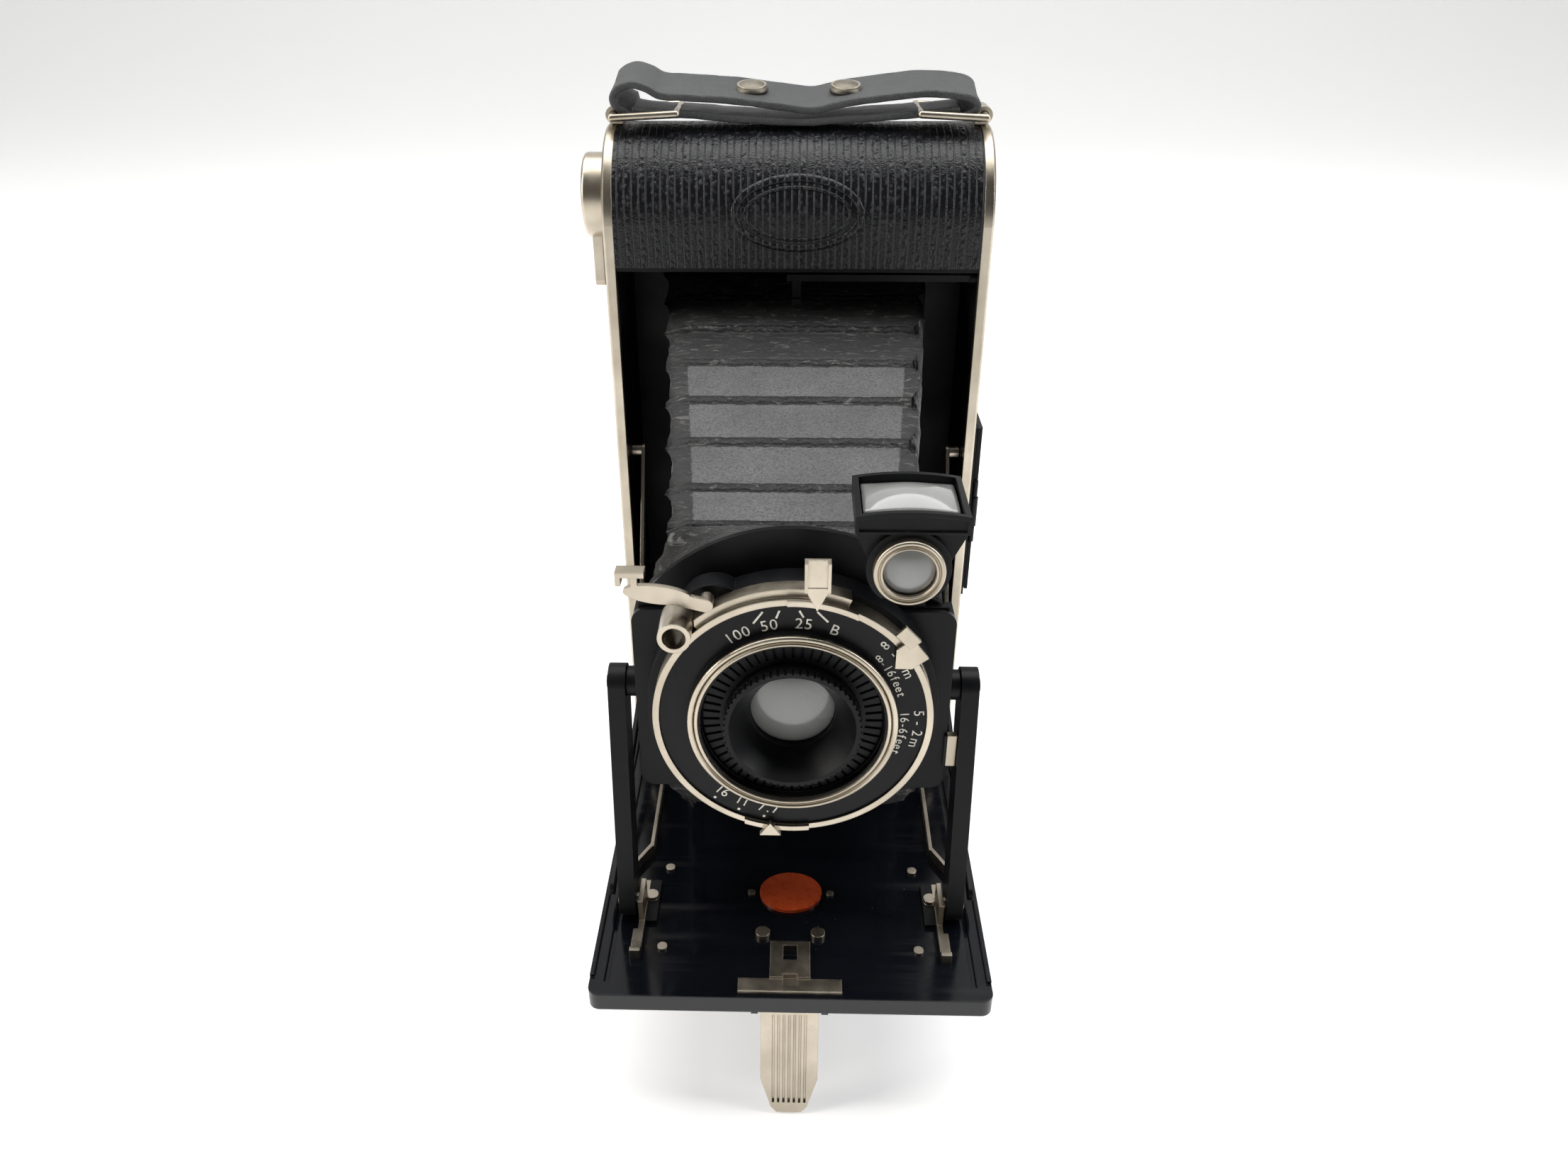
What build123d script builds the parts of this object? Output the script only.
from build123d import *
import math
import os

# A self-erecting folding roll-film camera, opened and standing upright.
# Millimetres. X runs to the viewer's right, -Y is the way the lens looks, +Z is up.
# While a piece is made, y = 0 is the body's front plane; every piece is then moved back by half
# the body's depth, so that the origin is the middle of the body's underside, on the table.

# ---- driving dimensions: body -------------------------------------------------------------
HALF_WIDTH = 39.0            # body, over the nickel edge trims
HEIGHT = 154.0
DEPTH = 36.0
END_RADIUS = 17.0            # rounded top and bottom of the body, seen from the side
TRIM_WIDTH = 2.1             # nickel trim, across the front edge
WALL = 1.0                   # body sheet metal
SKIN = 0.6                   # leatherette
INNER_HALF = HALF_WIDTH - TRIM_WIDTH
LATCH_SLOT = 24.9            # rear end of the slot that the cover's latch slides in
COVER_SPLIT = 20.0           # the rear cover takes the body's rear from this depth on
COVER_HINGE = (20.2, 0.97)   # its hinge under the body, as (y, z)
KNUCKLE = 0.93               # radius of that hinge's knuckles
WELL_FLOOR = 27.5            # the front well lies between these two heights
WELL_TOP = 127.8
CATCH_Y = 3.4                # the bed catch's sliding bar
CATCH_Z = 126.1
NOSE_Z = 120.15              # underside of the catch's nose
SOCKET_Y = 18.0              # tripod socket in the right side
SOCKET_Z = 36.0
SOCKET_RADIUS = 4.0          # crest radius of its 3/8 inch thread
GATE_FRONT = 26.5            # front of the film gate plate
GATE_HALF = 28.0             # picture opening
GATE_LOW = 36.0
GATE_HIGH = 120.0
SPOOL_DEPTH = 18.0           # depth of both spool axes
SPOOL_LOW = 13.2
SPOOL_HIGH = 139.5
KEY_RADIUS = 8.6             # winding key, and the flange of its bush
KEY_FLANGE = 11.8
FLANGE_RADIUS = 10.8         # spool flanges
CORE_RADIUS = 4.0

# ---- driving dimensions: bed, foot and struts ---------------------------------------------
HINGE_Y = 0.5
HINGE_Z = 26.1
BED_TOP = 29.1               # inner face of the open bed
BED_BOTTOM = 25.6
BED_FRONT = -97.6
BED_HALF = 35.0
FOOT_Y = -94.0               # the foot's pivot under the bed
FOOT_Z = 23.6
FOOT_TIP_Y = -98.0
STRUT_LOW = (-78.0, 32.6)    # strut pivot on the bed, as (y, z)
STRUT_HIGH = (-72.0, 77.0)   # strut pivot on the standard
STRUT_IN = 28.3              # the struts' inner and outer faces, from the middle
STRUT_OUT = 31.3
STRUT_HALF = 3.1             # half the struts' width
BRACE_WALL = (8.0, 85.5)     # side brace: pivot on the body wall
BRACE_KNEE = (-14.8, 45.9)   # its knee
BRACE_BED = (-76.0, 33.4)    # and its pivot beside the bed

# ---- driving dimensions: standard, shutter and finder -------------------------------------
AXIS_Z = 77.0                # height of the lens axis
BOARD_RADIUS = 30.4          # rounded top of the lens board
STANDARD_HALF = 26.5
STANDARD_LOW = 57.0
STANDARD_HIGH = 93.0
FRAME_FRONT = -75.0
SHUTTER_FRONT = -83.0
SHUTTER_RADIUS = 22.8
RIM_BACK = -79.2
RING_FRONT = -84.3           # the dial's raised ring
DIAL_BACK = -82.1            # back of the dial plate, on the shutter's case
COLLAR_FRONT = -82.5         # ribbed collar of the focusing cell
COLLAR_RADIUS = 14.6
COLLAR_RIBS = 56
CELL_FRONT = -85.9           # knurled barrel of the focusing cell
CELL_RADIUS = 11.2
KNURLS = 60
GLASS_RADIUS = 7.0
SOCKET_PLACE = (-18.3, 94.7) # cable release socket, as (x, z)
ARM_BACK = -81.2             # focusing arm, which passes under the dial
FOCUS_ANGLE = 36.4           # its pointer stands at the far end of the scale
FOCUS_TRAVEL = 42.0
FINDER_X = 17.1              # axis of the reflecting finder
FINDER_Z = 106.2
FINDER_MIDDLE = 17.35        # the finder's box: middle, half width, arched top and deep hood
FINDER_HALF = 8.45
FINDER_TOP = 115.7
ROOF_RADIUS = 46.0
HOOD_LOW = 112.1
HOOD_FRONT = -84.8
HOOD_BACK = -70.2
STRAP_LEAN = 11.0            # the strap leans forward, and its two studs with it
RUNNING = 0.05               # radial clearance of a shaft or pin in its hole


# ---- small helpers ------------------------------------------------------------------------
def block(x0, x1, y0, y1, z0, z1):
    centre = Pos((x0 + x1) / 2, (y0 + y1) / 2, (z0 + z1) / 2)
    return centre * Box(abs(x1 - x0), abs(y1 - y0), abs(z1 - z0))


def rod_x(x0, x1, y, z, radius):
    return Pos((x0 + x1) / 2, y, z) * Rot(0, 90, 0) * Cylinder(radius, abs(x1 - x0))


def rod_y(y0, y1, x, z, radius):
    return Pos(x, (y0 + y1) / 2, z) * Rot(90, 0, 0) * Cylinder(radius, abs(y1 - y0))


def rod_z(z0, z1, x, y, radius):
    return Pos(x, y, (z0 + z1) / 2) * Cylinder(radius, abs(z1 - z0))


def tube_y(y0, y1, x, z, outer, inner):
    return rod_y(y0, y1, x, z, outer) - rod_y(min(y0, y1) - 1, max(y0, y1) + 1, x, z, inner)


def tube_x(x0, x1, y, z, outer, inner):
    return rod_x(x0, x1, y, z, outer) - rod_x(min(x0, x1) - 1, max(x0, x1) + 1, y, z, inner)


def side_plane(x):
    return Plane(origin=(x, 0, 0), x_dir=(0, 1, 0), z_dir=(1, 0, 0))


def front_plane(y):
    return Plane(origin=(0, y, 0), x_dir=(1, 0, 0), z_dir=(0, -1, 0))


def side_plate(outline, x0, x1):
    # An outline in (y, z), made solid between two x planes.
    low, high = min(x0, x1), max(x0, x1)
    return extrude(side_plane(low) * outline, amount=high - low, dir=(1, 0, 0))


def front_plate(outline, y_rear, thickness):
    # An outline in (x, z), made solid from y_rear towards the viewer.
    return extrude(front_plane(y_rear) * outline, amount=thickness, dir=(0, -1, 0))


def mirrored(solid):
    return mirror(solid, about=Plane.YZ)


def body_profile(inset):
    # The body's side outline, drawn in from its outer surface by inset.
    height = HEIGHT - 2 * inset
    depth = DEPTH - 2 * inset
    return Pos(DEPTH / 2, HEIGHT / 2) * RectangleRounded(depth, height, END_RADIUS - inset)


def bar_outline(start, end, half_width):
    # A flat link with round ends between two points of a plane.
    length = math.hypot(end[0] - start[0], end[1] - start[1])
    angle = math.degrees(math.atan2(end[1] - start[1], end[0] - start[0]))
    slot = SlotCenterToCenter(length, 2 * half_width)
    return Pos((start[0] + end[0]) / 2, (start[1] + end[1]) / 2) * Rot(0, 0, angle) * slot


def shell_strip(outer_inset, inner_inset, half, y0, y1, z0, z1):
    # Part of the wall that follows the body's side outline, cut to a window of depth and height.
    ring = side_plate(body_profile(outer_inset) - body_profile(inner_inset), -half, half)
    return ring & block(-half, half, y0, y1, z0, z1)


# ---- body ---------------------------------------------------------------------------------
def make_side_plates():
    plate = side_plate(body_profile(TRIM_WIDTH + 0.05), INNER_HALF, INNER_HALF + 1.1)
    right = plate - rod_x(INNER_HALF - 1, HALF_WIDTH, CATCH_Y, CATCH_Z, 1.3)
    right -= rod_x(INNER_HALF - 1, HALF_WIDTH, SOCKET_Y, SOCKET_Z, 4.75)
    left = mirrored(plate - rod_x(INNER_HALF - 1, HALF_WIDTH, SPOOL_DEPTH, SPOOL_HIGH, 2.6))
    return left, right


def make_trims():
    ring = side_plate(body_profile(0) - body_profile(TRIM_WIDTH), INNER_HALF, HALF_WIDTH)
    outside = ring.edges().filter_by(GeomType.LINE).filter_by(Axis.Z).group_by(Axis.X)[-1]
    ring = chamfer(outside, 0.4) if len(outside) else ring
    return Compound([ring, mirrored(ring)])


def make_side_leather():
    plate = side_plate(body_profile(TRIM_WIDTH + 0.1), INNER_HALF + 1.1, HALF_WIDTH - 0.3)
    key_side = plate - rod_x(INNER_HALF, HALF_WIDTH + 1, SPOOL_DEPTH, SPOOL_HIGH, KEY_FLANGE + 0.1)
    socket_side = plate - rod_x(INNER_HALF, HALF_WIDTH + 1, SOCKET_Y, SOCKET_Z, 5.6)
    socket_side -= rod_x(INNER_HALF, HALF_WIDTH + 1, CATCH_Y, CATCH_Z, 1.4)
    return Compound([socket_side, mirrored(key_side)])


def make_chambers():
    half = INNER_HALF
    upper = shell_strip(SKIN, SKIN + WALL, half, 0, COVER_SPLIT, WELL_TOP, HEIGHT)
    upper += block(-half, half, SKIN, 7.5, WELL_TOP, WELL_TOP + 0.8)
    lower = shell_strip(SKIN, SKIN + WALL, half, 0, COVER_SPLIT - 1.5, 0, 24.4)
    lower += rod_x(-14.0, 14.0, *COVER_HINGE, KNUCKLE)
    lower += block(-14.0, 14.0, COVER_SPLIT - 1.7, COVER_HINGE[0] - 0.4, SKIN, 1.5)
    lower += block(-half, half, 3.2, 24.0, 24.6, 25.4)
    lower += block(-half, half, 3.2, 4.0, 21.0, 25.4)
    lower += block(-half, half, SKIN, 4.0, 21.0, 21.8)
    for side in (-1, 1):
        lower += rod_x(side * 8.0, side * 19.0, HINGE_Y, HINGE_Z, 1.35)
        lower += block(side * 8.0, side * 19.0, 1.0, 1.6, 23.4, 26.0)
    lower -= rod_x(-20, 20, HINGE_Y, HINGE_Z, 0.55 + RUNNING)
    lower -= rod_x(-15, 15, *COVER_HINGE, 0.45 + RUNNING)
    return upper, lower


def make_end_leather():
    half = INNER_HALF - 0.05
    upper = shell_strip(0, SKIN, half, -1, COVER_SPLIT - 0.1, WELL_TOP + 0.9, HEIGHT)
    lower = shell_strip(0, SKIN, half, -1, COVER_SPLIT - 1.6, 0, 24.2)
    return Compound([upper, lower])


def make_film_gate():
    gate = block(-INNER_HALF, INNER_HALF, GATE_FRONT, GATE_FRONT + 0.8, WELL_FLOOR, WELL_TOP)
    gate -= block(-GATE_HALF, GATE_HALF, GATE_FRONT - 1, GATE_FRONT + 2, GATE_LOW, GATE_HIGH)
    for side in (-1, 1):
        rail = block(side * 30.0, side * 31.0, 27.3, 27.9, 32.0, 124.0)
        gate += rail
        for level in (WELL_FLOOR, WELL_TOP - 1.6):
            gate += block(side * 34.8, side * 35.8, 22.6, GATE_FRONT, level, level + 1.6)
    return gate


def make_roller(z):
    roller = rod_x(-33.0, 33.0, 24.6, z, 1.7)
    for side in (-1, 1):
        roller += rod_x(side * 32.5, side * 34.6, 24.6, z, 0.7)
    return roller


def make_spool(z, keyed):
    core = rod_x(-31.0, 31.0, SPOOL_DEPTH, z, CORE_RADIUS)
    for side in (-1, 1):
        core += rod_x(side * 31.0, side * 32.0, SPOOL_DEPTH, z, FLANGE_RADIUS)
    core -= block(-33, -27, SPOOL_DEPTH - 0.6, SPOOL_DEPTH + 0.6, z - 2.6, z + 2.6)
    core -= rod_x(25, 33, SPOOL_DEPTH, z, 2.1)
    if keyed:
        core -= rod_x(-33, -29, SPOOL_DEPTH, z, 2.55)
    else:
        core -= rod_x(-33, -25, SPOOL_DEPTH, z, 2.1)
    return core


def make_body_pins():
    # The hinge pins of the bed and the cover, and three fixed studs that the spools turn on.
    pins = [rod_x(-30.0, 30.0, HINGE_Y, HINGE_Z, 0.55), rod_x(-33.0, 33.0, *COVER_HINGE, 0.45)]
    for x, z in ((1, SPOOL_LOW), (-1, SPOOL_LOW), (1, SPOOL_HIGH)):
        stud = rod_x(x * 26.5, x * INNER_HALF, SPOOL_DEPTH, z, 2.1 - RUNNING)
        stud += rod_x(x * 33.0, x * INNER_HALF, SPOOL_DEPTH, z, 3.4)
        pins.append(stud)
    return Compound(pins)


def make_winding_bush():
    bush = rod_x(-HALF_WIDTH - 0.5, -INNER_HALF - 1.12, SPOOL_DEPTH, SPOOL_HIGH, KEY_FLANGE)
    bush += rod_x(-HALF_WIDTH, -INNER_HALF, SPOOL_DEPTH, SPOOL_HIGH, 2.55)
    bush -= rod_x(-HALF_WIDTH - 2, -INNER_HALF + 2, SPOOL_DEPTH, SPOOL_HIGH, 1.6)
    return bush


def make_winding_key():
    low = -HALF_WIDTH - 5.6
    knob = rod_x(low, -HALF_WIDTH - 0.9, SPOOL_DEPTH, SPOOL_HIGH, KEY_RADIUS)
    knob = fillet(knob.edges().filter_by(GeomType.CIRCLE).group_by(Axis.X)[0], 0.8)
    knob -= block(low - 1, low + 3.2, SPOOL_DEPTH - 3.0, SPOOL_DEPTH + 3.0, 129, 136.2)
    shaft = rod_x(-HALF_WIDTH - 1, -29.5, SPOOL_DEPTH, SPOOL_HIGH, 1.6 - RUNNING)
    blade = block(-30.5, -27.2, SPOOL_DEPTH - 0.5, SPOOL_DEPTH + 0.5, 137.2, 141.8)
    pivot = rod_y(SPOOL_DEPTH - 3.2, SPOOL_DEPTH + 3.2, low + 2.0, 134.4, 0.5)
    return knob + shaft + blade + pivot


def make_key_handle():
    low = -HALF_WIDTH - 5.6
    x0, x1 = low + 0.95, low + 3.05
    handle = block(x0, x1, SPOOL_DEPTH - 2.7, SPOOL_DEPTH + 2.7, 120.6, 135.4)
    handle -= block(x0 - 1, x1 + 1, SPOOL_DEPTH - 1.5, SPOOL_DEPTH + 1.5, 122.2, 132.6)
    corners = handle.edges().filter_by(Axis.X).group_by(Axis.Z)[0]
    handle = fillet(corners, 1.4)
    top = handle.edges().filter_by(Axis.Y).group_by(Axis.Z)[-1]
    handle = fillet(top, 0.9)
    return handle - rod_y(SPOOL_DEPTH - 4, SPOOL_DEPTH + 4, low + 2.0, 134.4, 0.5 + RUNNING)


def make_bed_catch():
    # A sliding bar under the lip, with a hook for the bed's catch plate and a button at its end.
    bar = block(-2.0, 36.0, CATCH_Y - 0.7, CATCH_Y + 0.7, CATCH_Z - 0.7, CATCH_Z + 0.7)
    arm = block(-0.9, 0.9, CATCH_Y + 2.0, CATCH_Y + 2.9, NOSE_Z, CATCH_Z)
    arm += block(-0.9, 0.9, CATCH_Y, CATCH_Y + 2.9, CATCH_Z - 0.7, CATCH_Z + 0.7)
    nose = block(-0.9, 0.9, CATCH_Y + 0.8, CATCH_Y + 2.9, NOSE_Z, NOSE_Z + 1.1)
    button = rod_x(35.5, HALF_WIDTH - 0.1, CATCH_Y, CATCH_Z, 1.2)
    return bar + arm + nose + button


def make_tripod_bush():
    bush = rod_x(35.3, HALF_WIDTH - 0.3, SOCKET_Y, SOCKET_Z, 4.7)
    bush += rod_x(INNER_HALF + 1.12, HALF_WIDTH + 0.1, SOCKET_Y, SOCKET_Z, 5.5)
    return bush - rod_x(34, HALF_WIDTH + 1, SOCKET_Y, SOCKET_Z, SOCKET_RADIUS)


# ---- rear cover ---------------------------------------------------------------------------
def make_rear_cover():
    half = INNER_HALF - 0.3
    cover = shell_strip(SKIN, SKIN + WALL, half, COVER_SPLIT + 0.2, DEPTH, 0, HEIGHT)
    for side in (-1, 1):
        cover += block(side * (half - 0.9), side * half, 29.4, DEPTH - SKIN - 0.5, 24, 130)
    cover += rod_y(DEPTH - 1.2, DEPTH + 0.3, 0, 60.0, 6.1)
    cover -= rod_y(DEPTH - 4, DEPTH + 1, 0, 60.0, 4.0)
    cover += rod_y(DEPTH - SKIN, DEPTH + 0.9, 4.9, 60.0, 0.6)
    cover -= block(-3.2, 3.2, COVER_SPLIT - 1, LATCH_SLOT, HEIGHT - 4, HEIGHT + 1)
    cover -= block(-half - 1, half + 1, COVER_SPLIT - 1, COVER_HINGE[0] + 1.5, -1, 3)
    for side in (-1, 1):
        y, z = COVER_HINGE
        cover += rod_x(side * 14.3, side * 33.0, y, z, KNUCKLE)
        cover += block(side * 14.3, side * 33.0, y + 0.4, y + 2.2, SKIN, 1.5)
    cover -= rod_x(-34, 34, *COVER_HINGE, 0.45 + RUNNING)
    return cover


def make_rear_leather():
    half = INNER_HALF - 0.35
    skin = shell_strip(0, SKIN, half, COVER_SPLIT + 0.3, DEPTH + 1, 0, HEIGHT)
    skin -= rod_y(DEPTH - 4, DEPTH + 2, 0, 60.0, 6.3)
    skin -= block(-half - 1, half + 1, COVER_SPLIT - 1, COVER_HINGE[0] + 1.6, -1, 3)
    return skin - block(-3.6, 3.6, COVER_SPLIT - 1, LATCH_SLOT + 0.3, HEIGHT - 4, HEIGHT + 1)


def make_rear_latch():
    # A sprung tongue that slides forward over the upper chamber to hold the cover shut.
    latch = block(-4.6, 4.6, 18.4, 22.2, HEIGHT - 4.1, HEIGHT - 3.0)
    latch += block(-3.0, 3.0, 20.8, 22.0, HEIGHT - 3.2, HEIGHT + 0.5)
    return latch


def make_pressure_plate():
    plate = block(-32.0, 32.0, 28.3, 29.0, 33.0, 123.0)
    for z in (48.0, 108.0):
        spring = block(-2.5, 2.5, 29.0, 29.4, z - 16, z + 16)
        spring += block(-2.5, 2.5, 29.4, 34.35, z - 1.2, z + 1.2)
        plate += spring
    return plate


def make_red_window():
    return rod_y(DEPTH - 1.5, DEPTH - 1.0, 0, 60.0, 3.9)


def make_window_shutter():
    flap = rod_y(DEPTH + 0.35, DEPTH + 0.75, 0, 60.0, 4.4)
    flap += block(0, 4.9, DEPTH + 0.35, DEPTH + 0.75, 58.6, 61.4)
    flap += rod_y(DEPTH + 0.35, DEPTH + 0.75, 4.9, 60.0, 1.4)
    flap -= rod_y(DEPTH, DEPTH + 1, 4.9, 60.0, 0.6 + RUNNING)
    return flap


# ---- strap, rings and folding frame finder ------------------------------------------------
def make_strap_fittings():
    # The two curled lugs on the body's ends and the two snap studs in the strap.
    eye = rod_y(14.6, 21.4, HALF_WIDTH - 1.6, HEIGHT + 1.9, 1.7)
    eye -= rod_y(14, 22, HALF_WIDTH - 1.6, HEIGHT + 1.9, 0.9)
    foot = block(HALF_WIDTH - 3.2, HALF_WIDTH - 1.0, 15.4, 20.6, HEIGHT + 0.02, HEIGHT + 0.8)
    lug = eye + (foot - rod_y(14, 22, HALF_WIDTH - 1.6, HEIGHT + 1.9, 1.0))
    studs = [Pos(x, 18.0, 161.0) * Rot(STRAP_LEAN, 0, 0) * Cylinder(3.0, 0.75) for x in (-9.5, 9.5)]
    return Compound([lug, mirrored(lug)] + studs)


def make_strap_rings():
    # Each ring is a rectangle of wire: one leg runs through the lug, the other carries the strap.
    rings = []
    for side in (-1, 1):
        outer = HALF_WIDTH - 1.6
        inner = outer - 13.0
        z_out, z_in = HEIGHT + 1.9, HEIGHT + 2.6
        ring = rod_y(10.6, 25.4, side * outer, z_out, 0.75)
        ring += rod_y(10.6, 25.4, side * inner, z_in, 0.75)
        for y in (10.6, 25.4):
            lean = math.degrees(math.atan2(z_in - z_out, outer - inner))
            leg = Rot(0, 90 + lean, 0) * Cylinder(0.75, math.hypot(13.0, z_in - z_out))
            leg = Pos((outer + inner) / 2, y, (z_out + z_in) / 2) * leg
            ring += leg if side > 0 else mirrored(leg)
            ring += Pos(side * outer, y, z_out) * Sphere(0.75)
            ring += Pos(side * inner, y, z_in) * Sphere(0.75)
        rings.append(ring)
    return Compound(rings)


def make_strap():
    # A folded leather strip, 13 wide, that sags a little between its two loops.
    top = [(-37.5, 159.6), (-34.5, 162.6), (-27.0, 160.9), (0, 158.6), (26.0, 161.2), (33.5, 160.6)]
    low = [(33.5, 158.6), (26.0, 159.0), (0, 156.6), (-24.0, 158.6), (-34.0, 158.2)]
    edge = Spline(*top) + Line(top[-1], low[0]) + Spline(*low) + Line(low[-1], top[0])
    outline = make_face(edge)
    return front_plate(outline, 24.5, 13.0)


def make_finder_base():
    x = HALF_WIDTH + 0.02
    plate = block(x, x + 0.5, 1.0, 34.6, 52.5, 94.0)
    for y, z0, z1 in ((2.2, 70.0, 77.0), (33.4, 70.0, 77.0)):
        plate += rod_z(z0, z1, x + 1.25, y, 0.95)
        plate += block(x, x + 1.2, y - 0.5, y + 0.5, z0, z1)
        plate -= rod_z(z0 - 1, z1 + 1, x + 1.25, y, 0.5)
    return plate


def make_finder_leaf(y_hinge, y_tip, z0, z1):
    x = HALF_WIDTH + 0.02 + 0.85
    step = 1.0 if y_tip > y_hinge else -1.0
    leaf = block(x, x + 0.8, y_hinge + step * 0.2, y_tip, z0, z1)
    window = block(x - 1, x + 2, y_hinge + step * 3.2, y_tip - step * 2.4, z0 + 3.0, z1 - 3.0)
    leaf -= window
    relief = block(x - 1, x + 3, y_hinge - step * 2, y_hinge + step * 1.3, 69.7, 77.3)
    leaf -= relief
    for low, high in ((66.0, 69.7), (77.3, 81.0)):
        leaf += rod_z(low, high, x + 0.4, y_hinge, 0.7)
    return leaf + rod_z(66.0, 81.0, x + 0.4, y_hinge, 0.5 - RUNNING)


def make_finder_front_leaf():
    leaf = make_finder_leaf(2.2, 17.6, 53.2, 93.4)
    x = HALF_WIDTH + 1.6
    mask = block(x, x + 0.7, 5.0, 17.0, 68.0, 92.6) - block(x - 1, x + 2, 6.6, 14.4, 71.0, 89.8)
    return leaf + mask


# ---- bed ----------------------------------------------------------------------------------
def bed_outline():
    # The open bed seen from above, as (x, y).
    length = -0.5 - BED_FRONT
    return Pos(0, BED_FRONT + length / 2) * Rectangle(2 * BED_HALF, length)


def make_bed_panel():
    panel = extrude(Pos(0, 0, BED_BOTTOM) * bed_outline(), amount=BED_TOP - BED_BOTTOM)
    front = panel.edges().filter_by(Axis.Z).group_by(Axis.Y)[0]
    panel = fillet(front, 2.0)
    for side in (-1, 1):
        panel -= block(side * 31.6, side * 32.4, BED_FRONT + 3, -6.0, BED_TOP - 0.5, BED_TOP + 1)
        panel += block(side * 34.2, side * BED_HALF, BED_FRONT + 4, -6.0, BED_TOP - 0.1, BED_TOP + 0.6)
        panel -= block(side * 7.6, side * 19.4, -2.6, 0.5, BED_BOTTOM - 1, BED_TOP + 1)
        arm = block(side * 20.0, side * 29.0, -1.2, HINGE_Y, HINGE_Z - 0.5, HINGE_Z + 1.35)
        arm += rod_x(side * 20.0, side * 29.0, HINGE_Y, HINGE_Z, 1.35)
        panel += arm
        panel += block(side * 5.6, side * 6.8, FOOT_Y - 1.2, FOOT_Y + 1.2, FOOT_Z - 1.2, 25.7)
        panel += rod_x(side * 5.6, side * 6.8, FOOT_Y, FOOT_Z, 1.3)
    panel -= rod_x(-31, 31, HINGE_Y, HINGE_Z, 0.55 + RUNNING)
    panel -= rod_x(-7.5, 7.5, FOOT_Y, FOOT_Z, 0.6 + RUNNING)
    return panel


def make_bed_leather():
    sheet = Pos(0, (BED_FRONT - 2.6) / 2) * Rectangle(2 * BED_HALF - 3.0, -2.6 - BED_FRONT - 3.0)
    skin = extrude(Pos(0, 0, BED_BOTTOM - 0.5) * sheet, amount=0.5)
    return skin - block(-7.4, 7.4, BED_FRONT - 1, -91.4, BED_BOTTOM - 1, BED_BOTTOM + 1)


def make_catch_plate():
    plate = block(-9.0, 9.0, -96.8, -94.0, BED_TOP, BED_TOP + 0.9)
    plate += block(-3.55, 3.55, -94.1, -85.8, BED_TOP, BED_TOP + 1.3)
    plate -= block(-1.25, 1.25, -90.1, -86.8, BED_TOP - 1, BED_TOP + 3)
    return plate - block(-1.25, 1.25, -95.6, -93.4, BED_TOP + 0.3, BED_TOP + 3)


def make_badge():
    # A plain oval enamelled badge.
    return extrude(Pos(0, -72.8, BED_TOP) * Ellipse(5.85, 4.95), amount=0.7)


def make_bed_rivets():
    rivets = []
    for side in (-1, 1):
        rivets.append(rod_z(BED_TOP, BED_TOP + 0.9, side * 5.0, -83.2, 1.3))
        rivets.append(rod_z(BED_TOP, BED_TOP + 0.4, side * 7.4, -72.8, 0.7))
        rivets.append(rod_z(BED_TOP, BED_TOP + 0.5, side * 23.4, -66.5, 0.9))
        rivets.append(rod_z(BED_TOP, BED_TOP + 0.5, side * 23.0, -86.6, 0.9))
    return Compound(rivets)


def make_strut_brackets():
    # A riveted angle on each side that carries the strut's lower pivot, with a press tab in front.
    y, z = STRUT_LOW
    bracket = block(24.6, 27.6, -81.0, -70.6, BED_TOP, BED_TOP + 0.9)
    bracket += block(26.6, 27.8, -83.2, -80.8, BED_TOP, BED_TOP + 0.9)
    bracket += block(26.6, 28.6, -89.2, -83.0, BED_TOP, BED_TOP + 0.9)
    bracket += block(26.6, 28.6, -89.2, -88.3, BED_TOP, BED_TOP + 1.9)
    bracket += rod_z(BED_TOP + 0.8, BED_TOP + 1.7, 26.0, -75.0, 1.2)
    bracket += block(26.9, 27.8, y - 3.0, y + 3.0, BED_TOP, z + 2.0)
    bracket += rod_x(27.5, STRUT_OUT + 0.4, y, z, 1.2)
    return Compound([bracket, mirrored(bracket)])


def make_lock_springs():
    # Flat springs beside the struts: a long tail, a kink outwards and a low neck.
    height = 2.2
    base = BED_TOP + 0.02
    spring = block(27.0, 27.7, -62.6, -42.2, base, base + height)
    kink = Pos(28.65, -64.4, base + height / 2) * Rot(0, 0, 27.5) * Box(0.7, 6.0, height)
    spring += kink + block(29.6, 30.3, -72.5, -66.4, base, base + 1.2)
    return Compound([spring, mirrored(spring)])


def make_foot():
    # A tapering nickel leg, fluted in front; it folds back flat under the bed.
    top, tip = 5.15, 3.25
    z_top = FOOT_Z - 0.4
    outline = Polygon((-top, z_top), (top, z_top), (top, 7.6), (tip, 1.2), (tip - 1, 0),
                      (1 - tip, 0), (-tip, 1.2), (-top, 7.6), align=None)
    leg = front_plate(outline, 0, 1.3)
    for k in range(7):
        x = (k - 3) * 0.95
        leg -= block(x - 0.22, x + 0.22, -1.5, -0.75, 2.2, 21.6)
    lean = math.degrees(math.atan2(FOOT_Y - FOOT_TIP_Y, FOOT_Z))
    leg = Pos(0, FOOT_Y + 0.65, FOOT_Z) * Rot(-lean, 0, 0) * Pos(0, 0, -FOOT_Z) * leg
    leg += rod_x(-5.15, 5.15, FOOT_Y, FOOT_Z, 1.2)
    leg += rod_x(-6.8, 6.8, FOOT_Y, FOOT_Z, 0.6)
    return leg & block(-10, 10, -120, 0, 0, 40)


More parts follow.
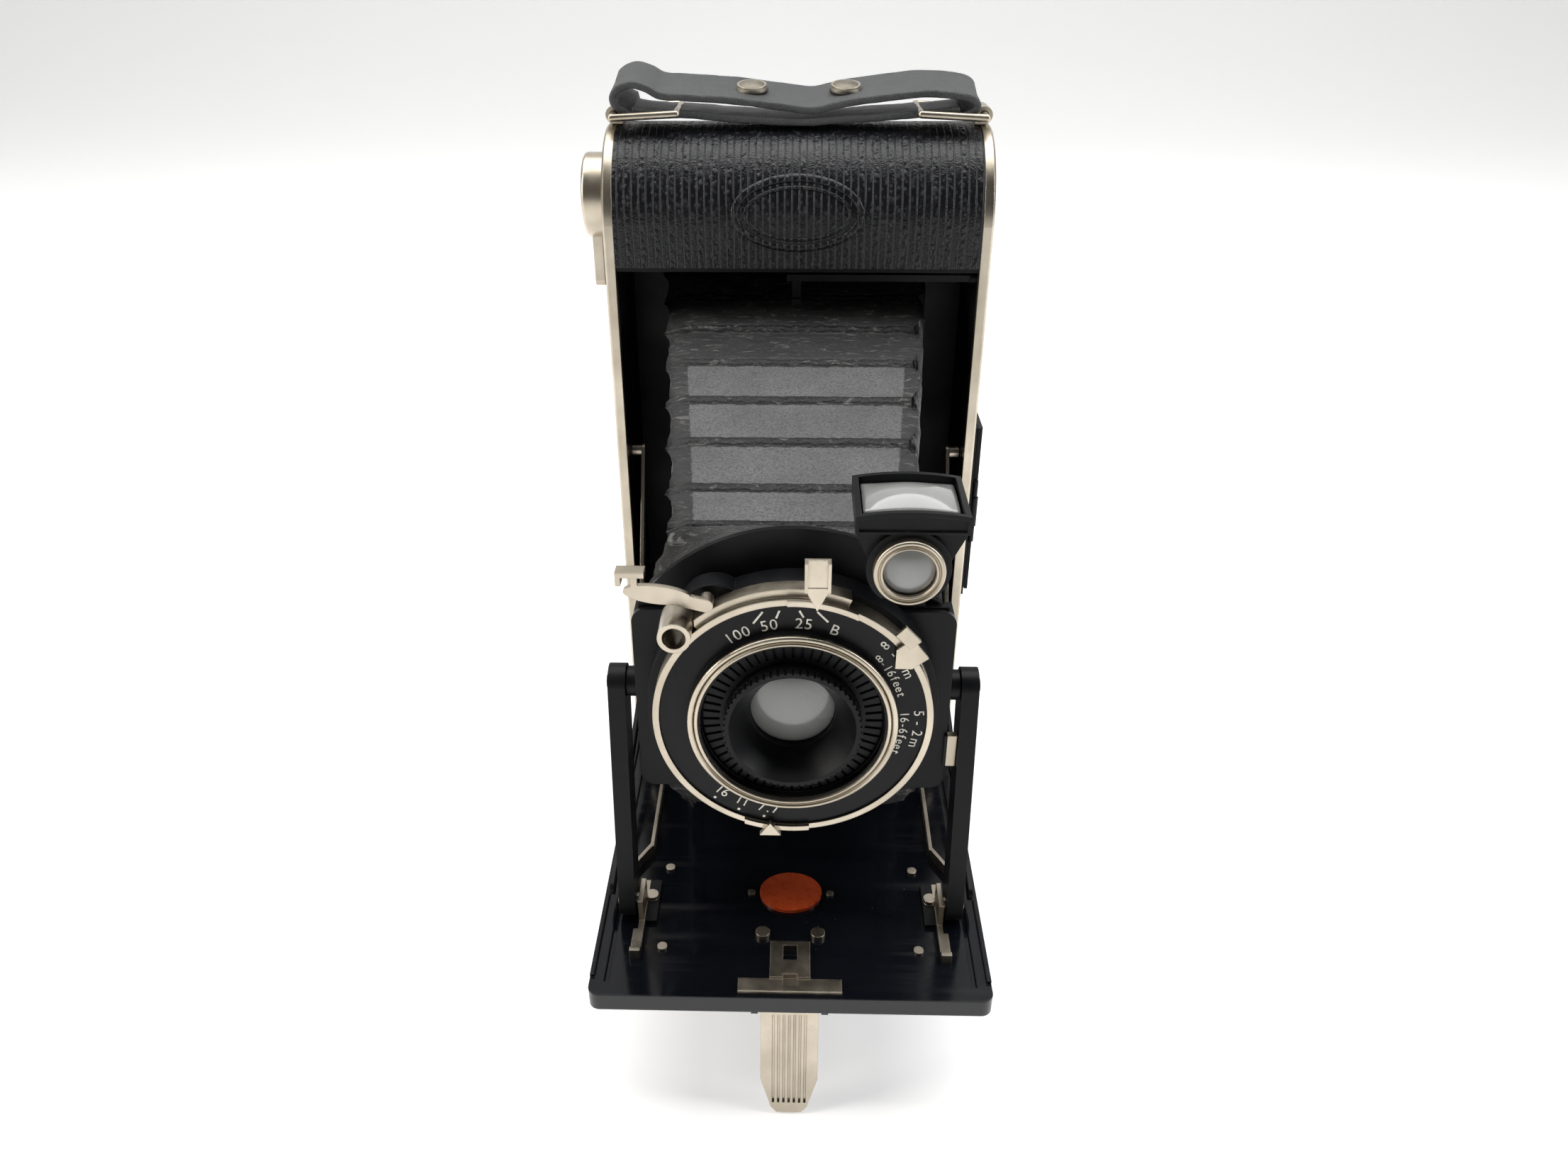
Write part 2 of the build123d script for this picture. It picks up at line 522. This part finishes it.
# ---- struts and braces --------------------------------------------------------------------
def make_struts():
    # Two pressed levers: a flat web with a folded outer flange and round ends.
    outer = bar_outline(STRUT_LOW, STRUT_HIGH, STRUT_HALF)
    inner = bar_outline(STRUT_LOW, STRUT_HIGH, STRUT_HALF - 0.8)
    strut = side_plate(outer, STRUT_IN, STRUT_IN + 1.0)
    strut += side_plate(outer - inner, STRUT_IN, STRUT_OUT)
    for y, z in (STRUT_LOW, STRUT_HIGH):
        strut += rod_x(STRUT_IN, STRUT_IN + 1.8, y, z, 1.9)
        strut -= rod_x(STRUT_IN - 1, STRUT_OUT + 1, y, z, 1.2 + RUNNING)
    return Compound([strut, mirrored(strut)])


def make_upper_braces():
    link = side_plate(bar_outline(BRACE_WALL, BRACE_KNEE, 1.7), 33.8, 34.6)
    link += rod_x(34.6, INNER_HALF - 0.1, *BRACE_WALL, 1.4)
    link += rod_x(34.6, 35.2, *BRACE_KNEE, 1.3)
    return Compound([link, mirrored(link)])


def make_lower_braces():
    link = side_plate(bar_outline(BRACE_BED, BRACE_KNEE, 1.5), 32.7, 33.5)
    link += rod_x(32.2, 32.7, *BRACE_KNEE, 1.2)
    return Compound([link, mirrored(link)])


# ---- standard and shutter -----------------------------------------------------------------
def make_standard_frame():
    outline = Rectangle(2 * STANDARD_HALF, STANDARD_HIGH - STANDARD_LOW)
    outline = Pos(0, (STANDARD_HIGH + STANDARD_LOW) / 2) * fillet(outline.vertices(), 2.4)
    frame = front_plate(outline, FRAME_FRONT + 1.0, 1.0)
    frame -= rod_y(FRAME_FRONT - 1, FRAME_FRONT + 2, 0, AXIS_Z, 14.5)
    for side in (-1, 1):
        x0, x1 = side * (STANDARD_HALF - 1.0), side * STANDARD_HALF
        frame += block(x0, x1, FRAME_FRONT + 0.5, -67.4, STANDARD_LOW + 2.4, STANDARD_HIGH - 2.4)
        y, z = STRUT_HIGH
        frame += rod_x(side * (STANDARD_HALF - 0.5), side * (STRUT_OUT + 0.4), y, z, 1.2)
        frame += rod_x(side * (STANDARD_HALF - 0.1), side * (STRUT_IN - 0.15), y, z, 2.6)
    tab = block(STANDARD_HALF - 0.5, STRUT_IN - 0.15, FRAME_FRONT - 0.6, FRAME_FRONT + 0.6, 62.4, 68.8)
    return frame + tab


def make_lens_board():
    half = STANDARD_HALF - 1.15
    disc = Pos(0, AXIS_Z) * Circle(BOARD_RADIUS)
    window = Pos(0, 84.0) * Rectangle(2 * half, 52.8)
    board = front_plate(disc & window, -72.8, 1.1)
    board += rod_y(-73.9, -72.8, FINDER_X, FINDER_Z, 5.6)
    board -= rod_y(-75, -72, FINDER_X, FINDER_Z, 1.5 + RUNNING)
    board -= rod_y(-75, -70, 0, AXIS_Z, 14.5)
    return board - block(21.3, 30.0, -75, -70, STANDARD_HIGH + 0.3, 110.0)


def shutter_sector(start, end, outer):
    # A wedge of the shutter, as (x, z), between two angles anticlockwise from +X.
    middle, half = math.radians((start + end) / 2), math.radians((end - start) / 2)
    reach = outer / math.cos(half)
    corners = [(0, AXIS_Z)]
    for turn in (middle - half, middle + half):
        corners.append((reach * math.cos(turn), AXIS_Z + reach * math.sin(turn)))
    return Polygon(*corners, align=None)


def make_shutter_housing():
    # The shutter's case, with a track under the dial where the focusing arm travels.
    case = rod_y(RIM_BACK, FRAME_FRONT, 0, AXIS_Z, 24.0)
    case += rod_y(RIM_BACK, FRAME_FRONT, -12.5, AXIS_Z + 17.5, 5.6)
    case += rod_y(DIAL_BACK, RIM_BACK, 0, AXIS_Z, SHUTTER_RADIUS - 1.1)
    case -= rod_y(DIAL_BACK - 1, -76.0, 0, AXIS_Z, 13.4)
    case -= rod_y(-77, FRAME_FRONT + 1, 0, AXIS_Z, 13.4)
    case -= rod_y(DIAL_BACK - 1, -79.7, *SOCKET_PLACE, 2.75)
    track = shutter_sector(FOCUS_ANGLE - FOCUS_TRAVEL - 8.0, FOCUS_ANGLE + 8.0, 30.0)
    case -= front_plate(track, ARM_BACK + 0.2, 6.0)
    case -= rod_y(DIAL_BACK - 1, ARM_BACK + 0.2, 0, AXIS_Z, COLLAR_RADIUS + 0.3)
    return case


def make_shutter_rim():
    # The nickel bezel that clamps the dial plate on the case.
    rim = tube_y(SHUTTER_FRONT, RIM_BACK, 0, AXIS_Z, SHUTTER_RADIUS, SHUTTER_RADIUS - 1.05)
    shoulder = front_plate(shutter_sector(68.0, 132.0, 30.0), RIM_BACK, RIM_BACK - DIAL_BACK)
    rim += tube_y(DIAL_BACK, RIM_BACK, 0, AXIS_Z, SHUTTER_RADIUS + 1.3, SHUTTER_RADIUS - 0.5) & shoulder
    track = shutter_sector(FOCUS_ANGLE - FOCUS_TRAVEL - 8.0, FOCUS_ANGLE + 8.0, 30.0)
    rim -= front_plate(track, ARM_BACK + 0.2, ARM_BACK + 0.2 - DIAL_BACK)
    return rim - rod_y(SHUTTER_FRONT - 1, -79.7, *SOCKET_PLACE, 2.75)


def make_dial_plate():
    face = tube_y(SHUTTER_FRONT + 0.4, DIAL_BACK, 0, AXIS_Z, SHUTTER_RADIUS - 1.1, 14.9)
    face += tube_y(RING_FRONT, SHUTTER_FRONT + 0.4, 0, AXIS_Z, 17.0, 15.0)
    return face


def make_shutter_blades():
    return rod_y(-77.4, -77.0, 0, AXIS_Z, 13.2)


def make_rear_cell():
    cell = tube_y(-76.9, -69.6, 0, AXIS_Z, 13.3, 9.0)
    cell += tube_y(-72.6, -71.6, 0, AXIS_Z, 15.6, 12.0)
    return cell


def make_rear_lens():
    return rod_y(-73.0, -70.2, 0, AXIS_Z, 8.95)


def polar(radius, angle):
    # A point of the shutter's face, as (x, z), from the lens axis.
    turn = math.radians(angle)
    return radius * math.cos(turn), AXIS_Z + radius * math.sin(turn)


def make_front_cell():
    # The focusing cell: a knurled barrel, a ribbed collar and an arm under the dial to the pointer.
    cell = tube_y(-78.0, CELL_FRONT, 0, AXIS_Z, CELL_RADIUS, GLASS_RADIUS + 0.05)
    funnel_depth = 5.4
    funnel = Pos(0, CELL_FRONT + funnel_depth / 2, AXIS_Z) * Rot(90, 0, 0)
    cell -= funnel * Cone(GLASS_RADIUS, CELL_RADIUS - 0.9, funnel_depth)
    cell += tube_y(COLLAR_FRONT, -81.2, 0, AXIS_Z, COLLAR_RADIUS, CELL_RADIUS - 0.6)
    for k in range(KNURLS):
        turn = Rot(0, 360.0 * k / KNURLS, 0)
        cell -= Pos(0, CELL_FRONT + 0.7, AXIS_Z) * turn * Pos(CELL_RADIUS, 0, 0) * Box(0.5, 1.6, 0.45)
    for k in range(COLLAR_RIBS):
        turn = Rot(0, 360.0 * k / COLLAR_RIBS, 0)
        cell -= Pos(0, COLLAR_FRONT, AXIS_Z) * turn * Pos(COLLAR_RADIUS - 1.2, 0, 0) * Box(3.0, 0.8, 0.45)
    y_front = SHUTTER_FRONT - 0.9
    arm = Polygon(polar(COLLAR_RADIUS - 1, FOCUS_ANGLE - 8), polar(23.6, FOCUS_ANGLE - 5),
                  polar(23.6, FOCUS_ANGLE + 5), polar(COLLAR_RADIUS - 1, FOCUS_ANGLE + 8), align=None)
    post = Polygon(polar(23.0, FOCUS_ANGLE - 5), polar(23.7, FOCUS_ANGLE - 5), polar(23.7, FOCUS_ANGLE + 5),
                   polar(23.0, FOCUS_ANGLE + 5), align=None)
    pointer = Polygon(polar(19.4, FOCUS_ANGLE - 2), polar(21.6, FOCUS_ANGLE - 6),
                      polar(24.8, FOCUS_ANGLE - 5), polar(24.8, FOCUS_ANGLE + 5),
                      polar(21.6, FOCUS_ANGLE + 5.5), align=None)
    ear = Polygon(polar(23.4, FOCUS_ANGLE + 3), polar(25.6, FOCUS_ANGLE + 3), polar(25.6, FOCUS_ANGLE + 11),
                  polar(23.4, FOCUS_ANGLE + 11), align=None)
    cell += front_plate(arm, ARM_BACK, 0.6)
    cell += front_plate(post, ARM_BACK, ARM_BACK - y_front)
    cell += front_plate(pointer, y_front + 0.55, 0.55)
    return cell + front_plate(ear, y_front + 0.35, 0.75)


def make_front_lens():
    return rod_y(-80.4, -78.2, 0, AXIS_Z, GLASS_RADIUS)


def make_cable_socket():
    return tube_y(-79.7, -86.5, *SOCKET_PLACE, 2.6, 1.85)


def lever_band(x_low, x_high, z_low, z_high):
    # Part of a thin ring that slides on the rim.
    ring = tube_y(SHUTTER_FRONT - 0.5, SHUTTER_FRONT - RUNNING, 0, AXIS_Z, SHUTTER_RADIUS, 21.85)
    return ring & block(x_low, x_high, -84, -82, z_low, z_high)


def make_speed_lever():
    # A pointer over the rim, with a channel-shaped thumb tab standing above it.
    y_back = SHUTTER_FRONT - 0.25
    point = Polygon((3.6, 98.3), (5.6, 102.4), (1.6, 102.4), align=None)
    lever = lever_band(-1, 10, 94, 102) + front_plate(point, y_back, 0.7)
    lever += block(1.6, 5.6, y_back - 0.6, y_back, 102.2, 107.2)
    for x in (1.6, 5.1):
        lever += block(x, x + 0.5, y_back - 1.9, y_back, 102.2, 107.2)
    return lever


def make_aperture_lever():
    # A small pointer at the rim's lowest part.
    point = Polygon((-5.4, 53.8), (-1.8, 53.8), (-3.6, 56.4), align=None)
    return lever_band(-8, 3, 52, 60) + front_plate(point, SHUTTER_FRONT - 0.2, 1.1)


def make_release_lever():
    # A leaf-shaped lever over the case's left shoulder, with a thumb tab that stands up.
    y_back = -82.4
    leaf = Pos(-20.9, 100.5) * Rot(0, 0, -7) * Ellipse(5.3, 1.6)
    lever = front_plate(leaf, y_back, 0.8)
    lever += front_plate(bar_outline((-13.5, 98.6), (-17.4, 99.6), 1.1), y_back, 0.8)
    lever += block(-24.9, -23.9, -83.2, y_back, 100.4, 104.9)
    lever += block(-27.0, -22.6, -84.8, y_back, 104.3, 105.2)
    lever += block(-27.0, -26.2, -84.8, y_back, 102.9, 105.2)
    return lever + rod_y(-83.2, -80.5, -13.5, 98.6, 1.1)


# ---- reflecting finder --------------------------------------------------------------------
def finder_roof(drop):
    # The low arch that tops the finder, as a disc in (x, z), lowered by drop.
    return Pos(FINDER_MIDDLE, FINDER_TOP - ROOF_RADIUS - drop) * Circle(ROOF_RADIUS)


def finder_body_outline(inset):
    # The finder from the front: it tapers to its objective and its pivot.
    half, low = FINDER_HALF - inset, FINDER_Z - 5.6 + inset
    left, right = FINDER_MIDDLE - half, FINDER_MIDDLE + half
    return Polygon((left, HOOD_LOW), (FINDER_X - 3.1 + inset / 2, low), (FINDER_X + 3.1 - inset / 2, low),
                   (right, HOOD_LOW), (right, FINDER_TOP + 2), (left, FINDER_TOP + 2), align=None)


def make_finder_housing():
    # A folded box: a tapering body in front of the board, and a deeper hood on top of it.
    tall = FINDER_TOP - HOOD_LOW + 2
    hood = Pos(FINDER_MIDDLE, HOOD_LOW + tall / 2) * Rectangle(2 * FINDER_HALF, tall)
    boss = rod_y(-84.6, -83.0, FINDER_X, FINDER_Z, 6.4)
    housing = front_plate(finder_body_outline(0) & finder_roof(0), -75.2, 8.6)
    housing += front_plate(hood & finder_roof(0), HOOD_BACK, HOOD_BACK - HOOD_FRONT)
    housing += boss & block(8, 27, -90, -70, FINDER_Z - 5, HOOD_LOW + 0.5)
    housing -= front_plate(finder_body_outline(0.9) & finder_roof(0.9), -76.2, 6.6)
    inside = Pos(FINDER_MIDDLE, HOOD_LOW + 3) * Rectangle(2 * FINDER_HALF - 1.8, 4.6)
    housing -= front_plate(inside, HOOD_BACK - 0.9, HOOD_BACK - HOOD_FRONT - 1.8)
    housing -= rod_y(-86, -80, FINDER_X, FINDER_Z, 4.6)
    brow = Pos(FINDER_MIDDLE, HOOD_LOW + 2.6) * Rectangle(2 * FINDER_HALF - 1.0, 4.4)
    housing -= front_plate(brow & finder_roof(0.7), HOOD_FRONT + 0.4, 1.0) - boss
    for half, y0, y1 in ((7.3, -79.7, -72.4), (5.0, -81.5, -71.2)):
        housing -= block(FINDER_MIDDLE - half, FINDER_MIDDLE + half, y0, y1, HOOD_LOW + 1, FINDER_TOP + 1)
    housing += block(13.0, 21.2, -75.3, -74.3, FINDER_Z - 3.6, FINDER_Z + 3.6)
    return housing + rod_y(-75.3, -73.2, FINDER_X, FINDER_Z, 1.5)


def make_finder_ring():
    bead = tube_y(-86.2, -84.6, FINDER_X, FINDER_Z, 5.4, 3.9)
    return bead + tube_y(-84.8, -83.4, FINDER_X, FINDER_Z, 4.5, 3.9)


def make_finder_lenses():
    # The round objective in front and the square viewing lens on top.
    objective = rod_y(-85.6, -84.2, FINDER_X, FINDER_Z, 3.85)
    half = FINDER_HALF - 1.0
    viewing = block(FINDER_MIDDLE - half, FINDER_MIDDLE + half, HOOD_FRONT + 1.0, HOOD_BACK - 1.0,
                    FINDER_TOP - 2.4, FINDER_TOP - 1.0)
    return Compound([objective, viewing])


def make_finder_mirror():
    return Pos(FINDER_MIDDLE, -79.6, FINDER_Z + 1.4) * Rot(45, 0, 0) * Box(8.4, 6.4, 0.5)


# ---- bellows ------------------------------------------------------------------------------
def make_bellows():
    def frustum(margin):
        rear = front_plane(GATE_FRONT - 0.2) * (Pos(0, 77.5) * Rectangle(58 - margin, 89 - margin))
        front = front_plane(-69.4) * (Pos(0, AXIS_Z) * Rectangle(38.5 - margin, 57.5 - margin))
        return loft([rear, front])
    return frustum(0) - frustum(3.0)


# ---- write every piece --------------------------------------------------------------------
def all_pieces():
    pieces = {}
    pieces["left_side_plate"], pieces["right_side_plate"] = make_side_plates()
    pieces["side_trims"] = make_trims()
    pieces["side_leatherettes"] = make_side_leather()
    pieces["upper_chamber"], pieces["lower_chamber"] = make_chambers()
    pieces["end_leatherettes"] = make_end_leather()
    pieces["film_gate"] = make_film_gate()
    pieces["lower_roller"] = make_roller(WELL_FLOOR + 2.6)
    pieces["upper_roller"] = make_roller(WELL_TOP - 2.6)
    pieces["supply_spool"] = make_spool(SPOOL_LOW, False)
    pieces["take_up_spool"] = make_spool(SPOOL_HIGH, True)
    pieces["body_pins"] = make_body_pins()
    pieces["winding_bush"] = make_winding_bush()
    pieces["winding_key"] = make_winding_key()
    pieces["key_handle"] = make_key_handle()
    pieces["bed_catch"] = make_bed_catch()
    pieces["tripod_bush"] = make_tripod_bush()
    pieces["rear_cover"] = make_rear_cover()
    pieces["rear_leatherette"] = make_rear_leather()
    pieces["rear_latch"] = make_rear_latch()
    pieces["pressure_plate"] = make_pressure_plate()
    pieces["red_window"] = make_red_window()
    pieces["window_shutter"] = make_window_shutter()
    pieces["strap_fittings"] = make_strap_fittings()
    pieces["strap_rings"] = make_strap_rings()
    pieces["strap"] = make_strap()
    pieces["finder_base"] = make_finder_base()
    pieces["finder_front_leaf"] = make_finder_front_leaf()
    pieces["finder_rear_leaf"] = make_finder_leaf(33.4, 18.4, 60.0, 87.0)
    pieces["bed_panel"] = make_bed_panel()
    pieces["bed_leatherette"] = make_bed_leather()
    pieces["catch_plate"] = make_catch_plate()
    pieces["badge"] = make_badge()
    pieces["bed_rivets"] = make_bed_rivets()
    pieces["strut_brackets"] = make_strut_brackets()
    pieces["lock_springs"] = make_lock_springs()
    pieces["foot"] = make_foot()
    pieces["struts"] = make_struts()
    pieces["upper_braces"] = make_upper_braces()
    pieces["lower_braces"] = make_lower_braces()
    pieces["standard_frame"] = make_standard_frame()
    pieces["lens_board"] = make_lens_board()
    pieces["shutter_housing"] = make_shutter_housing()
    pieces["shutter_rim"] = make_shutter_rim()
    pieces["dial_plate"] = make_dial_plate()
    pieces["shutter_blades"] = make_shutter_blades()
    pieces["rear_cell"] = make_rear_cell()
    pieces["rear_lens"] = make_rear_lens()
    pieces["front_cell"] = make_front_cell()
    pieces["front_lens"] = make_front_lens()
    pieces["cable_socket"] = make_cable_socket()
    pieces["speed_lever"] = make_speed_lever()
    pieces["aperture_lever"] = make_aperture_lever()
    pieces["release_lever"] = make_release_lever()
    pieces["finder_housing"] = make_finder_housing()
    pieces["finder_ring"] = make_finder_ring()
    pieces["finder_lenses"] = make_finder_lenses()
    pieces["finder_mirror"] = make_finder_mirror()
    pieces["bellows"] = make_bellows()
    return pieces


to_origin = Pos(0, -DEPTH / 2, 0)
os.makedirs("parts", exist_ok=True)
for name, piece in all_pieces().items():
    export_step(to_origin * piece, f"parts/{name}.step")
